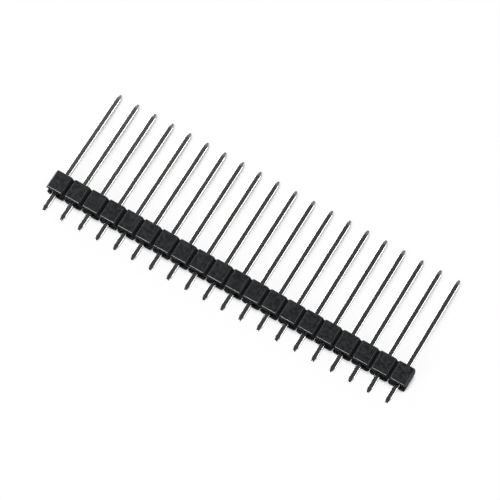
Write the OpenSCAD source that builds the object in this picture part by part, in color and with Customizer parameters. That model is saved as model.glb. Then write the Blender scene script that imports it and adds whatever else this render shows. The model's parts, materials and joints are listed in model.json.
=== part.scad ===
// Pin header strip: one row of long square pins pressed through a moulded housing.
// X runs along the row and the long ends of the pins point along +Y.
// The strip lies on its side, as it comes to rest: one long edge of the housing and
// the shoulders of the long pin ends touch the ground, and Z is up.

/* [Row] */
// Number of pins in the row
ways = 20; // [2:1:40]
// Distance from one pin to the next
pitch = 2.54; // [2:0.01:3.5]

/* [Housing] */
// Width of the housing across the row
body_w = 2.5; // [2:0.1:3.2]
// Height of the housing along the pins, feet included
body_h = 2.54; // [2:0.02:4]
// Width of a snap-off notch where it opens
notch_w = 0.6; // [0.3:0.05:0.8]
// Depth of a snap-off notch
notch_d = 0.7; // [0.3:0.05:0.85]
// Width of the channel between the two rows of feet
channel_w = 1.25; // [1:0.05:1.5]
// Depth of the channel, which is how far the feet stand the housing off a board
channel_d = 0.35; // [0.1:0.05:0.6]
// Radius of the four long moulded edges
edge_r = 0.12; // [0.05:0.01:0.2]

/* [Pins] */
// Side of the square wire
pin_w = 0.64; // [0.45:0.01:0.8]
// Radius of the wire's four long corners
pin_r = 0.08; // [0.03:0.01:0.12]
// Length of the solder tail beyond the feet
tail_len = 2.65; // [2:0.05:4]
// Length of the mating end beyond the housing
mate_len = 12.9; // [8:0.05:20]
// Length of the coined taper at both ends
tip_len = 0.6; // [0.3:0.05:0.8]
// Side of the square flat at the very end
tip_w = 0.3; // [0.15:0.01:0.36]

/* [Hold of the pins] */
// Gap all round between a pin and the hole it is pressed into
fit = 0.01; // [0.005:0.005:0.03]
// How far each coined ear stands out from the side of a pin
ear_out = 0.08; // [0.04:0.01:0.12]
// Length of an ear along the pin, ramps included
ear_len = 0.9; // [0.5:0.05:1.2]
// Thickness of an ear
ear_t = 0.36; // [0.2:0.02:0.4]
// Chamfer that leads a pin into its hole from the channel
lead_in = 0.12; // [0.05:0.01:0.18]

/* [Hidden] */
$fn = 48;

row_len = ways * pitch;
mate_end = body_h + mate_len;
hole_w = pin_w + 2 * fit;
// The ears sit halfway through the plastic between the channel and the mating face
ear_y = (channel_d + body_h) / 2;

// On the ground the strip leans on the start of its pins' tapers, so it tilts until
// these shoulders are as low as the housing's rounded edge
lean_run = mate_len - tip_len + edge_r;
lean_rise = (body_w - pin_w) / 2 - edge_r;
rest_tilt = atan2(lean_rise, lean_run) + asin(edge_r / norm([lean_run, lean_rise]));
rest_lift = (body_h - edge_r) * sin(rest_tilt) + (body_w / 2 - edge_r) * cos(rest_tilt) + edge_r;
// Brings the middle of the pins' length over the origin
rest_shift = (mate_end - tail_len) / 2 * cos(rest_tilt);

function pin_name(n) = str("pin_", n < 10 ? "0" : "", n);

function pin_x(n) = (n - (ways + 1) / 2) * pitch;

// One side of the housing's outline, seen along the pins: half a notch at each end
// of the row, where a neighbour was snapped off, and a whole one between two ways
function notched_side() = [
    for (k = [0:ways])
        let (x = k * pitch - row_len / 2)
            each [
                if (k > 0) [x - notch_w / 2, body_w / 2],
                [x, body_w / 2 - notch_d],
                if (k < ways) [x + notch_w / 2, body_w / 2]
            ]
];

function mirrored_side(side) = [for (k = [len(side) - 1:-1:0]) [side[k].x, -side[k].y]];

// From the strip's own frame, with the pins level and the feet at Y 0, to the ground
module at_rest() {
    translate([0, -rest_shift, rest_lift])
        rotate([-rest_tilt, 0, 0])
            children();
}

// Extrudes a shape drawn in X and Z along the pins, from y to y + length
module along_pins(y, length) {
    translate([0, y + length, 0])
        rotate([90, 0, 0])
            linear_extrude(length)
                children();
}

// Extrudes a shape drawn in Y and Z along the row, centred on X 0
module along_row(length) {
    rotate([90, 0, 90])
        translate([0, 0, -length / 2])
            linear_extrude(length)
                children();
}

module rounded_rectangle(size, r) {
    square([size.x - 2 * r, size.y], center = true);
    square([size.x, size.y - 2 * r], center = true);
    for (sx = [-1, 1], sy = [-1, 1])
        translate([sx * (size.x / 2 - r), sy * (size.y / 2 - r)])
            circle(r);
}

// The housing's section across the row: rounded long edges and the open channel
module housing_section() {
    difference() {
        translate([body_h / 2, 0])
            rounded_rectangle([body_h, body_w], edge_r);
        translate([-channel_d, -channel_w / 2])
            square([2 * channel_d, channel_w]);
    }
}

// A square funnel that widens at 45 degrees towards the channel
module hole_funnel() {
    top = hole_w / 2;
    low = top + 2 * lead_in;
    mouth = [[-top, lead_in], [-low, -lead_in], [low, -lead_in], [top, lead_in]];
    translate([0, channel_d, 0])
        intersection() {
            linear_extrude(2 * hole_w, center = true)
                polygon(mouth);
            rotate([0, 90, 0])
                linear_extrude(2 * hole_w, center = true)
                    polygon(mouth);
        }
}

// The pair of coined ears, or with grow the pocket that they press for themselves
module ears(grow = 0) {
    reach = pin_w / 2 + ear_out + grow;
    half = ear_len / 2 + grow;
    translate([0, ear_y, 0])
        linear_extrude(ear_t + 2 * grow, center = true)
            polygon([
                [-reach, ear_out - half], [-reach, half - ear_out], [-reach + ear_out, half],
                [reach - ear_out, half], [reach, half - ear_out], [reach, ear_out - half],
                [reach - ear_out, -half], [-reach + ear_out, -half]
            ]);
}

// A side view of a pin that shows both tapers. It is wider than the wire, and its
// slanted sides pass through the wire's flats at the shoulders.
module taper_view() {
    wide = pin_w;
    reach = tip_len * (wide - tip_w / 2) / (pin_w / 2 - tip_w / 2);
    linear_extrude(2 * pin_w, center = true)
        polygon([
            [-tip_w / 2, -tail_len], [tip_w / 2, -tail_len],
            [wide, reach - tail_len], [wide, mate_end - reach],
            [tip_w / 2, mate_end], [-tip_w / 2, mate_end],
            [-wide, mate_end - reach], [-wide, reach - tail_len]
        ]);
}

// Glass-filled plastic, moulded in one piece with a square hole for each pin
module housing() {
    color([0.10, 0.10, 0.11])
        at_rest()
            difference() {
                intersection() {
                    along_row(row_len + 1)
                        housing_section();
                    along_pins(-1, body_h + 2)
                        polygon(concat(notched_side(), mirrored_side(notched_side())));
                }
                for (n = [1:ways])
                    translate([pin_x(n), 0, 0]) {
                        along_pins(-1, body_h + 2)
                            square(hole_w, center = true);
                        hole_funnel();
                        ears(fit);
                    }
            }
}

// Square brass wire, tin plated, cut and coined to a blunt point at both ends
module pin(n) {
    color([0.85, 0.85, 0.84])
        at_rest()
            translate([pin_x(n), 0, 0]) {
                intersection() {
                    along_pins(-tail_len, tail_len + mate_end)
                        rounded_rectangle([pin_w, pin_w], pin_r);
                    taper_view();
                    rotate([0, 90, 0])
                        taper_view();
                }
                ears();
            }
}

housing();
for (n = [1:ways])
    pin(n);
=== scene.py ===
import json
from math import asin, cos, pi, radians, sin

import bmesh
import bpy
from mathutils import Euler, Matrix, Vector

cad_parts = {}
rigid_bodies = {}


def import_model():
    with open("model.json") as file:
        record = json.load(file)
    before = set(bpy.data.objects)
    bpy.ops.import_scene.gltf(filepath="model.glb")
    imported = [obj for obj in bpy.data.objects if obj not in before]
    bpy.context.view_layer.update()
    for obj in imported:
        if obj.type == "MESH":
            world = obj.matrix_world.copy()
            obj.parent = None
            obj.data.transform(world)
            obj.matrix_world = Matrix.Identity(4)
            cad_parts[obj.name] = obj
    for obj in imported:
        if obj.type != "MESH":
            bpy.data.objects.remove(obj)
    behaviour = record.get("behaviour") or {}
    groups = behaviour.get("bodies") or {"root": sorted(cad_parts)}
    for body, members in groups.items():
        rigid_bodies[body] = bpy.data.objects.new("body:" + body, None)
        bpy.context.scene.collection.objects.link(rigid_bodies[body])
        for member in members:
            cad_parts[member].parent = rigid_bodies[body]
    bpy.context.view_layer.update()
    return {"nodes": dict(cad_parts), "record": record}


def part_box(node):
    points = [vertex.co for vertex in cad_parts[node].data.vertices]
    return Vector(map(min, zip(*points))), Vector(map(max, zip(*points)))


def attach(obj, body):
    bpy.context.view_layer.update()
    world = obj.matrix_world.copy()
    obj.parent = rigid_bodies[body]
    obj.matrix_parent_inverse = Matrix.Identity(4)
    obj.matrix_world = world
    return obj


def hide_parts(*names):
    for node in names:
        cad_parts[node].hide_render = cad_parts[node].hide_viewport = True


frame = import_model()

bpy.ops.object.select_all(action="DESELECT")


# ---- The housing -----------------------------------------------------------------
# Black glass-filled plastic, moulded in one piece: twenty ways in a row, a V notch
# between each two to snap them apart, a square hole for each pin, and a channel on
# the board side that leaves a foot on each side of every way.

# The strip leans on its pins. Its own frame has the row along X, the pins along Y and
# the feet at Y 0, it is drawn in millimetres, and its two mounts say where it lies.
mounts = {mount["name"]: mount for mount in frame["record"]["mounts"]}
feet_middle = Vector(mounts["solder_tails"]["pos_m"])
rest_tilt = asin(-mounts["mating_pins"]["axis"][2])
lie_down = Matrix.Translation(feet_middle) @ Matrix.Rotation(-rest_tilt, 4, "X")
MM = 0.001

pin_nodes = sorted(name for name in frame["nodes"] if name.startswith("pin_"))
ways = len(pin_nodes)
row_len = (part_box("housing")[1].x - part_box("housing")[0].x) / MM
pitch = row_len / ways

body_w = 2.5       # across the row
body_h = 2.54      # along the pins, feet included
notch_w = 0.6      # a notch where it opens
notch_d = 0.7
channel_w = 1.25
channel_d = 0.35
edge_r = 0.12      # the four long moulded edges
hole_w = 0.66      # a pin's width and the gap on both sides of it
lead_in = 0.12     # chamfer from the channel into a hole
pocket_out = 0.09  # where a pin's ears have pushed the plastic aside
pocket_len = 0.92
crisp_r = 0.03     # the smallest rounding that a mould leaves on an edge
deep_break = 0.15  # how much of the last neck is torn away
torn_rim = 0.03    # the smooth edge that is left round a torn neck
torn_sunk = 0.03   # how far the torn plastic lies below that edge
torn_rough = 0.022

squarely = 0.99    # how nearly a face or edge lies square to the frame, where 1 is exactly


def pick(kind, test):
    """Selects what passes a test, which is given each vertex, edge or face and its middle."""
    bpy.ops.mesh.select_mode(type={"verts": "VERT", "edges": "EDGE", "faces": "FACE"}[kind])
    bpy.ops.mesh.select_all(action="DESELECT")
    form = bmesh.from_edit_mesh(bpy.context.edit_object.data)
    for part in getattr(form, kind):
        corners = [part] if kind == "verts" else part.verts
        middle = sum((v.co for v in corners), Vector()) / len(corners)
        part.select_set(test(part, middle))
    form.select_flush_mode()
    bmesh.update_edit_mesh(bpy.context.edit_object.data)


def near(a, b):
    """True for two measures that differ by no more than rounding does."""
    return abs(a - b) < 1e-4


def runs_along(edge, axis):
    """True for an edge that is parallel to the axis numbered 0, 1 or 2."""
    run = edge.verts[1].co - edge.verts[0].co
    return abs(run[axis]) > squarely * run.length


def add_block(name, size, middle):
    """A plain block, to be shaped into a piece."""
    bpy.ops.mesh.primitive_cube_add(size=1, location=middle)
    block = bpy.context.object
    block.name = block.data.name = name
    block.scale = size
    bpy.ops.object.transform_apply(location=True, rotation=False, scale=True)
    return block


def cut(point, normal, keep_below=False):
    """Cuts the selection with a plane, and with keep_below takes away what its normal points to."""
    bpy.ops.mesh.bisect(plane_co=point, plane_no=normal, use_fill=keep_below,
                        clear_outer=keep_below, threshold=1e-5)


def push(move):
    """Extrudes the selected face."""
    bpy.ops.mesh.extrude_region_move(TRANSFORM_OT_translate={"value": move})


def resize(scale, centre):
    """Scales the selection about a point."""
    bpy.ops.transform.resize(value=scale, center_override=centre)


def add_way():
    """One way of the housing, open at its two necks."""
    way = add_block("housing_moulding", (pitch, body_h, body_w), (0, body_h / 2, 0))
    bpy.ops.object.mode_set(mode="EDIT")
    pick("edges", lambda e, m: runs_along(e, 0))
    bpy.ops.mesh.bevel(offset=edge_r, segments=5)

    # the channel, pressed in from the board side and open at both ends
    for side in (-1, 1):
        pick("faces", lambda f, m: near(m.y, 0) and f.normal.y < -squarely)
        cut((0, 0, side * channel_w / 2), (0, 0, side))
    pick("faces", lambda f, m: near(m.y, 0) and near(m.z, 0))
    push((0, channel_d, 0))
    pick("faces", lambda f, m: near(abs(m.x), pitch / 2))
    bpy.ops.mesh.delete(type="FACE")
    for end in (-1, 1):
        pick("edges", lambda e, m: e.is_boundary and near(m.x, end * pitch / 2))
        bpy.ops.mesh.edge_face_add()

    # half a notch at each of the four corners
    for end in (-1, 1):
        for side in (-1, 1):
            bpy.ops.mesh.select_all(action="SELECT")
            cut((end * pitch / 2, 0, side * (body_w / 2 - notch_d)),
                (end * notch_d, 0, side * notch_w / 2), keep_below=True)

    # the hole: a square in the mating face, and a funnel in the channel's floor
    for half, y in ((hole_w / 2, body_h), (hole_w / 2 + lead_in, channel_d)):
        for side in (-1, 1):
            for outward in ((side, 0, 0), (0, 0, side)):
                pick("faces", lambda f, m: near(m.y, y) and abs(f.normal.y) > squarely)
                cut(half * Vector(outward), outward)
    pick("faces", lambda f, m: near(m.x, 0) and near(m.z, 0) and near(m.y, body_h))
    bpy.ops.mesh.delete(type="FACE")
    pick("faces", lambda f, m: near(m.x, 0) and near(m.z, 0) and near(m.y, channel_d))

    # the funnel goes on as the hole, which is wider at the ears, but only along the row
    pocket_y = (channel_d + body_h - pocket_len) / 2
    steps = [
        (channel_d + lead_in, hole_w / 2),
        (pocket_y, hole_w / 2),
        (pocket_y + pocket_out, hole_w / 2 + pocket_out),
        (pocket_y + pocket_len - pocket_out, hole_w / 2 + pocket_out),
        (pocket_y + pocket_len, hole_w / 2),
    ]
    y_was, half_was = channel_d, hole_w / 2 + lead_in
    for y, half in steps:
        push((0, y - y_was, 0))
        in_funnel = y_was == channel_d
        resize((half / half_was, 1, half / half_was if in_funnel else 1), (0, y, 0))
        y_was, half_was = y, half
    bpy.ops.mesh.delete(type="FACE")
    pick("edges", lambda e, m: e.is_boundary and abs(m.x) < pitch / 4)
    bpy.ops.mesh.bridge_edge_loops()

    pick("faces", lambda f, m: near(abs(m.x), pitch / 2))
    bpy.ops.mesh.delete(type="FACE")
    bpy.ops.object.mode_set(mode="OBJECT")
    return way


def finish_modifiers(piece):
    """Applies the modifiers of the piece, which is the active one."""
    for modifier in list(piece.modifiers):
        bpy.ops.object.modifier_apply(modifier=modifier.name)


def soften(piece, width, angle, segments=2):
    """Rounds every edge that turns by more than the angle."""
    bevel = piece.modifiers.new("soft edges", "BEVEL")
    bevel.width = width
    bevel.segments = segments
    bevel.limit_method = "ANGLE"
    bevel.angle_limit = radians(angle)
    finish_modifiers(piece)


def smooth(piece):
    """Smooth shading that keeps the large faces flat."""
    bpy.ops.object.shade_smooth_by_angle(angle=radians(40))
    flat = piece.modifiers.new("flat faces", "WEIGHTED_NORMAL")
    flat.keep_sharp = True
    finish_modifiers(piece)


def put_in_place(piece):
    """Takes a finished piece from its own frame in millimetres to where the strip lies."""
    piece.matrix_world = lie_down @ Matrix.Scale(MM, 4)
    bpy.ops.object.transform_apply(location=True, rotation=True, scale=True)


housing = add_way()
housing.location.x = (pitch - row_len) / 2
bpy.ops.object.transform_apply(location=True, rotation=False, scale=False)
row = housing.modifiers.new("row", "ARRAY")
row.count = ways
row.use_relative_offset = False
row.use_constant_offset = True
row.constant_offset_displace = (pitch, 0, 0)
row.use_merge_vertices = True
row.merge_threshold = 1e-3
finish_modifiers(housing)

bpy.ops.object.mode_set(mode="EDIT")
for end in (-1, 1):
    pick("edges", lambda e, m: e.is_boundary and near(m.x, end * row_len / 2))
    bpy.ops.mesh.edge_face_add()

# at the last way the break ran a little deeper into the neck
last_neck = row_len / 2 - deep_break
bpy.ops.mesh.select_all(action="SELECT")
cut((last_neck, 0, 0), (1, 0, 0), keep_below=True)
for side in (-1, 1):
    bpy.ops.mesh.select_all(action="SELECT")
    cut((last_neck, 0, side * (body_w / 2 - notch_d)),
        (notch_d, 0, side * (notch_w / 2 - deep_break)), keep_below=True)
bpy.ops.mesh.select_all(action="SELECT")
bpy.ops.mesh.normals_make_consistent(inside=False)
bpy.ops.object.mode_set(mode="OBJECT")
soften(housing, crisp_r, 30)

# the two ends were snapped off at a notch, so their necks are torn and slightly sunk
bpy.ops.object.mode_set(mode="EDIT")
for end, neck_x in ((-1, -row_len / 2), (1, last_neck)):
    pick("faces", lambda f, m: near(m.x, neck_x))
    bpy.ops.mesh.inset(thickness=torn_rim)
    bpy.ops.mesh.quads_convert_to_tris()
    bpy.ops.mesh.subdivide(number_cuts=5)
    bpy.ops.mesh.select_less()
    bpy.ops.transform.translate(value=(-end * torn_sunk, 0, 0))
    bpy.ops.transform.vertex_random(offset=torn_rough, uniform=1.0, seed=7)
bpy.ops.object.mode_set(mode="OBJECT")
smooth(housing)
put_in_place(housing)


def node_adder(tree):
    """A function that adds a node to the tree and sets its inputs and its own settings by name."""
    def add(kind, **values):
        node = tree.nodes.new(kind)
        for key, value in values.items():
            socket = key.replace("_", " ")
            if socket in node.inputs:
                node.inputs[socket].default_value = value
            else:
                setattr(node, key, value)
        return node

    return add


def new_material(name):
    """A material, the shader in it, and functions that add a node to it and link two."""
    made = bpy.data.materials.new(name)
    made.use_nodes = True
    tree = made.node_tree
    return made, tree.nodes["Principled BSDF"], node_adder(tree), tree.links.new


def set_ramp(node, *stops):
    """Gives a colour ramp its stops, each a position and a colour, from the lowest up."""
    marks = node.color_ramp.elements
    while len(marks) < len(stops):
        marks.new(1.0)
    for mark, (position, colour) in zip(marks, stops):
        mark.position = position
        mark.color = (*colour, 1)


# a Mix node's colour sockets have the names of its number sockets, so they go by number
MIX_FACTOR = 0
MIX_A = 6
MIX_B = 7
MIX_COLOUR = 2

black = (0.0011, 0.0013, 0.0016)
fibre_grey = (0.0067, 0.0078, 0.0089)
# a lighter grey for the notch walls and torn necks: painted light that lifts the shade in the
# notches
notch_painted_light = (0.02, 0.0216, 0.023)
side_sheen = 0.75    # specular levels
board_sheen = 0.01
notch_sheen = 0.02


def moulded_plastic():
    """Satin black with a fine grain and faint clouds of glass fibre, dull in places, and with
    painted light in its notches.
    """
    made, shader, add, link = new_material("housing_plastic")
    texture = add("ShaderNodeTexCoord")
    place = texture.outputs["Object"]
    facing = texture.outputs["Normal"]

    # faint clouds in the colour and the gloss, and a fine grain
    clouds = add("ShaderNodeTexNoise", Scale=2600.0, Detail=5.0, Roughness=0.6)
    shade = add("ShaderNodeValToRGB")
    set_ramp(shade, (0.40, black), (0.62, fibre_grey))
    gloss = add("ShaderNodeMapRange", From_Min=0.35, From_Max=0.65, To_Min=0.30, To_Max=0.40)
    grain = add("ShaderNodeTexNoise", Scale=22000.0, Detail=3.0, Roughness=0.55)
    bump = add("ShaderNodeBump", Strength=0.25, Distance=0.00001)
    link(place, clouds.inputs["Vector"])
    link(clouds.outputs["Fac"], shade.inputs["Fac"])
    link(clouds.outputs["Fac"], gloss.inputs["Value"])
    link(gloss.outputs["Result"], shader.inputs["Roughness"])
    link(place, grain.inputs["Vector"])
    link(grain.outputs["Fac"], bump.inputs["Height"])
    link(bump.outputs["Normal"], shader.inputs["Normal"])

    # the faces that look towards the board are dull
    towards_board = add("ShaderNodeVectorMath", operation="DOT_PRODUCT")
    towards_board.inputs[1].default_value = lie_down.to_3x3() @ Vector((0, -1, 0))
    sheen = add("ShaderNodeMapRange", From_Min=0.70, From_Max=0.95,
                To_Min=side_sheen, To_Max=board_sheen)
    link(facing, towards_board.inputs[0])
    link(towards_board.outputs["Value"], sheen.inputs["Value"])

    # the notches' walls and the torn necks, which look along the row, are dull, and carry a lighter
    # grey that is painted light to lift the shade in the notches
    parts = add("ShaderNodeSeparateXYZ")
    along_row = add("ShaderNodeMath", operation="ABSOLUTE")
    in_notch = add("ShaderNodeMapRange", From_Min=0.70, From_Max=0.90)
    dulled = add("ShaderNodeMix", B=notch_sheen)
    painted_light_mix = add("ShaderNodeMix", data_type="RGBA")
    painted_light_mix.inputs[MIX_B].default_value = (*notch_painted_light, 1)
    link(facing, parts.inputs["Vector"])
    link(parts.outputs["X"], along_row.inputs[0])
    link(along_row.outputs["Value"], in_notch.inputs["Value"])
    link(in_notch.outputs["Result"], dulled.inputs["Factor"])
    link(sheen.outputs["Result"], dulled.inputs["A"])
    link(dulled.outputs["Result"], shader.inputs["Specular IOR Level"])
    link(in_notch.outputs["Result"], painted_light_mix.inputs[MIX_FACTOR])
    link(shade.outputs["Color"], painted_light_mix.inputs[MIX_A])
    link(painted_light_mix.outputs[MIX_COLOUR], shader.inputs["Base Color"])
    return made


housing.data.materials.append(moulded_plastic())
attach(housing, "root")
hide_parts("housing")


# ---- The pins --------------------------------------------------------------------
# Square brass wire with rounded corners, tin plated, cut and coined to a blunt point
# at both ends. Each is pressed through the housing and held by two coined ears.

pin_w = 0.64       # the side of the square wire
pin_r = 0.08       # its four long corners
tail_len = 2.65    # beyond the feet
mate_len = 12.9    # beyond the housing
tip_len = 0.6      # of a coined point
tip_w = 0.3        # the flat at its end
ear_out = 0.08     # how far an ear stands out
ear_len = 0.9      # along the pin
ear_t = 0.36
shoulder_r = 0.12  # how far the shoulder of a coined point is rounded
coined_r = 0.02    # the rounding of the coined edges
mate_end = body_h + mate_len


def add_pin():
    """One pin at the middle of the row."""
    pin = add_block("header_pin", (pin_w, mate_end + tail_len, pin_w),
                    (0, (mate_end - tail_len) / 2, 0))
    bpy.ops.object.mode_set(mode="EDIT")
    pick("edges", lambda e, m: runs_along(e, 1))
    bpy.ops.mesh.bevel(offset=pin_r, segments=4)

    # the coined points
    for end, inward in ((-tail_len, 1), (mate_end, -1)):
        shoulder = end + inward * tip_len
        bpy.ops.mesh.select_all(action="SELECT")
        cut((0, shoulder, 0), (0, 1, 0))
        pick("verts", lambda v, m: near(m.y, end))
        resize((tip_w / pin_w, 1, tip_w / pin_w), (0, end, 0))
        pick("edges", lambda e, m: near(m.y, shoulder) and near(e.verts[0].co.y, e.verts[1].co.y))
        bpy.ops.mesh.bevel(offset=shoulder_r, segments=3)

    # the ears, raised on the two sides that face along the row
    ear_y = (channel_d + body_h) / 2
    for y in (ear_y - ear_len / 2, ear_y - ear_len / 2 + ear_out,
              ear_y + ear_len / 2 - ear_out, ear_y + ear_len / 2):
        pick("faces", lambda f, m: abs(f.normal.x) > squarely)
        cut((0, y, 0), (0, 1, 0))
    for z in (-ear_t / 2, ear_t / 2):
        pick("faces", lambda f, m: abs(f.normal.x) > squarely and near(m.y, ear_y))
        cut((0, 0, z), (0, 0, 1))
    for side in (-1, 1):
        pick("faces", lambda f, m: side * f.normal.x > squarely
             and near(m.y, ear_y) and near(m.z, 0))
        bpy.ops.transform.translate(value=(side * ear_out, 0, 0))
    bpy.ops.object.mode_set(mode="OBJECT")
    return pin


grey_tin = (0.82, 0.815, 0.805)
bright_tin = (0.88, 0.875, 0.865)


def tin_plate():
    """Bright tin over drawn wire: fine lines along the pin and slow changes of tone."""
    made, shader, add, link = new_material("pin_plating")
    shader.inputs["Metallic"].default_value = 1.0
    place = add("ShaderNodeTexCoord").outputs["Object"]

    cloudy = add("ShaderNodeTexNoise", Scale=900.0, Detail=4.0, Roughness=0.6)
    tint = add("ShaderNodeValToRGB")
    set_ramp(tint, (0.3, grey_tin), (0.7, bright_tin))
    link(place, cloudy.inputs["Vector"])
    link(cloudy.outputs["Fac"], tint.inputs["Fac"])
    link(tint.outputs["Color"], shader.inputs["Base Color"])

    # a noise drawn out along the pin, in a frame that is turned level with it
    level = add("ShaderNodeMapping", Rotation=(rest_tilt, 0, 0), Scale=(1, 0.03, 1))
    drawn = add("ShaderNodeTexNoise", Scale=16000.0, Detail=4.0, Roughness=0.6)
    gloss = add("ShaderNodeMapRange", To_Min=0.09, To_Max=0.17)
    bump = add("ShaderNodeBump", Strength=0.05, Distance=0.00001)
    link(place, level.inputs["Vector"])
    link(level.outputs["Vector"], drawn.inputs["Vector"])
    link(drawn.outputs["Fac"], gloss.inputs["Value"])
    link(gloss.outputs["Result"], shader.inputs["Roughness"])
    link(drawn.outputs["Fac"], bump.inputs["Height"])
    link(bump.outputs["Normal"], shader.inputs["Normal"])
    return made


first_pin = add_pin()
soften(first_pin, coined_r, 40)
smooth(first_pin)
first_pin.data.materials.append(tin_plate())
pins = [first_pin]
while len(pins) < ways:
    bpy.ops.object.duplicate(linked=False)
    pins.append(bpy.context.object)
for number, (pin, node) in enumerate(zip(pins, pin_nodes)):
    bpy.ops.object.select_all(action="DESELECT")
    pin.select_set(True)
    bpy.context.view_layer.objects.active = pin
    pin.name = pin.data.name = "header_" + node
    pin.location.x = (number + 0.5) * pitch - row_len / 2
    bpy.ops.object.transform_apply(location=True, rotation=False, scale=False)
    put_in_place(pin)
    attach(pin, "root")
    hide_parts(node)


# ---- The table and the light -----------------------------------------------------
# A plain white table, on which the strip keeps a faint shadow, in a pale studio with a
# dim ceiling and a dim front wall. A soft lamp stands behind the strip at each side, and
# a smaller, stronger one in front draws a light line along the housing's rounded edge.

paper_white = (0.6, 0.6, 0.6)
mirrored_glow = 0.1   # the share of the table's glow that a reflection shows


def add_table():
    """White paper. It is greyer in the crevices under the strip, and in what the metal mirrors."""
    bpy.ops.mesh.primitive_plane_add(size=1.2, location=(0, 0, 0))
    table = bpy.context.object
    table.name = "table"
    paper, matt, add, link = new_material("white_paper")
    matt.inputs["Base Color"].default_value = (*paper_white, 1)
    matt.inputs["Roughness"].default_value = 0.9
    glow = add("ShaderNodeEmission", Strength=1.0)
    mix = add("ShaderNodeMixShader")

    # seen straight it glows white, and in a mirror much less
    ray = add("ShaderNodeLightPath")
    straight = add("ShaderNodeMath", operation="ADD")
    seen = add("ShaderNodeMath", operation="MULTIPLY_ADD")
    seen.inputs[1].default_value = mirrored_glow
    link(ray.outputs["Is Camera Ray"], straight.inputs[0])
    link(ray.outputs["Is Transmission Ray"], straight.inputs[1])
    link(ray.outputs["Is Glossy Ray"], seen.inputs[0])
    link(straight.outputs["Value"], seen.inputs[2])

    # it glows less where the strip shuts out the light
    crevice = add("ShaderNodeAmbientOcclusion", samples=8, Distance=0.0010)
    open_air = add("ShaderNodeMapRange", From_Min=0.40, From_Max=0.72, To_Max=0.94)
    share = add("ShaderNodeMath", operation="MULTIPLY")
    link(crevice.outputs["AO"], open_air.inputs["Value"])
    link(seen.outputs["Value"], share.inputs[0])
    link(open_air.outputs["Result"], share.inputs[1])

    link(share.outputs["Value"], mix.inputs["Fac"])
    link(matt.outputs["BSDF"], mix.inputs[1])
    link(glow.outputs["Emission"], mix.inputs[2])
    link(mix.outputs["Shader"], paper.node_tree.nodes["Material Output"].inputs["Surface"])
    table.data.materials.append(paper)


wall_white = (1, 1, 1)
ceiling_grey = (0.165, 0.165, 0.165)
ceiling_dark = (0.05, 0.05, 0.05)


def add_studio():
    """White behind the strip. As a light, it has white side walls, and the rest is dim."""
    world = bpy.data.worlds.new("studio")
    bpy.context.scene.world = world
    world.use_nodes = True
    tree = world.node_tree
    add = node_adder(tree)
    link = tree.links.new
    white = tree.nodes["Background"]
    white.inputs["Color"].default_value = (*wall_white, 1)
    white.inputs["Strength"].default_value = 1.0
    room = add("ShaderNodeBackground")
    outward = add("ShaderNodeTexCoord").outputs["Generated"]

    # the ceiling is darkest near its middle, which is not quite overhead
    overhead = add("ShaderNodeVectorMath", operation="DOT_PRODUCT")
    overhead.inputs[1].default_value = Vector((0.12, 0.074, 0.99)).normalized()
    height = add("ShaderNodeValToRGB")
    set_ramp(height, (0.40, wall_white), (0.58, ceiling_grey), (0.835, ceiling_grey),
             (0.895, ceiling_dark))
    link(outward, overhead.inputs[0])
    link(overhead.outputs["Value"], height.inputs["Fac"])
    link(height.outputs["Color"], room.inputs["Color"])

    # the front wall is the one behind the eye
    parts = add("ShaderNodeSeparateXYZ")
    front = add("ShaderNodeMapRange", From_Min=-0.6, From_Max=0.0, To_Min=0.2, To_Max=1.0)
    link(outward, parts.inputs["Vector"])
    link(parts.outputs["Y"], front.inputs["Value"])
    link(front.outputs["Result"], room.inputs["Strength"])

    ray = add("ShaderNodeLightPath")
    mix = add("ShaderNodeMixShader")
    link(ray.outputs["Is Camera Ray"], mix.inputs["Fac"])
    link(room.outputs["Background"], mix.inputs[1])
    link(white.outputs["Background"], mix.inputs[2])
    link(mix.outputs["Shader"], tree.nodes["World Output"].inputs["Surface"])


def add_lamp(name, place, width, power):
    """A square soft lamp that faces the strip, with its place in metres from the strip's middle."""
    bpy.ops.object.light_add(type="AREA", location=place)
    lamp = bpy.context.object
    lamp.name = name
    lamp.data.size = width
    lamp.data.energy = power
    lamp.rotation_euler = (-Vector(place)).to_track_quat("-Z", "Y").to_euler()


add_table()
add_studio()
add_lamp("left_lamp", (-0.42, 0.30, 0.22), 0.35, 1.8)
add_lamp("right_lamp", (0.36, 0.26, 0.36), 0.35, 1.8)
add_lamp("front_lamp", (-0.12, -0.37, 0.34), 0.26, 4.3)


# ---- The camera ------------------------------------------------------------------
# It looks down on the strip from the tail side through a long lens, square to the
# strip's own tilt.

view_azimuth = radians(30.75)
view_height = radians(68.9)
view_distance = 0.293
film_width = 36      # in millimetres, as the lens is
lens_length = 173.2
aim = Vector((0.26, 5.90, 0)) * MM   # on the middle plane of the pins

towards = Vector((sin(view_azimuth) * cos(view_height),
                  -cos(view_azimuth) * cos(view_height),
                  sin(view_height)))
bpy.ops.object.camera_add()
camera = bpy.context.object
camera.name = "camera"
camera.data.sensor_width = film_width
camera.data.lens = lens_length
camera.data.clip_start = 0.01
looking = Euler((pi / 2 - view_height, 0, view_azimuth)).to_matrix().to_4x4()
camera.matrix_world = lie_down @ Matrix.Translation(aim + view_distance * towards) @ looking
bpy.context.scene.camera = camera
bpy.context.scene.view_settings.view_transform = "Standard"
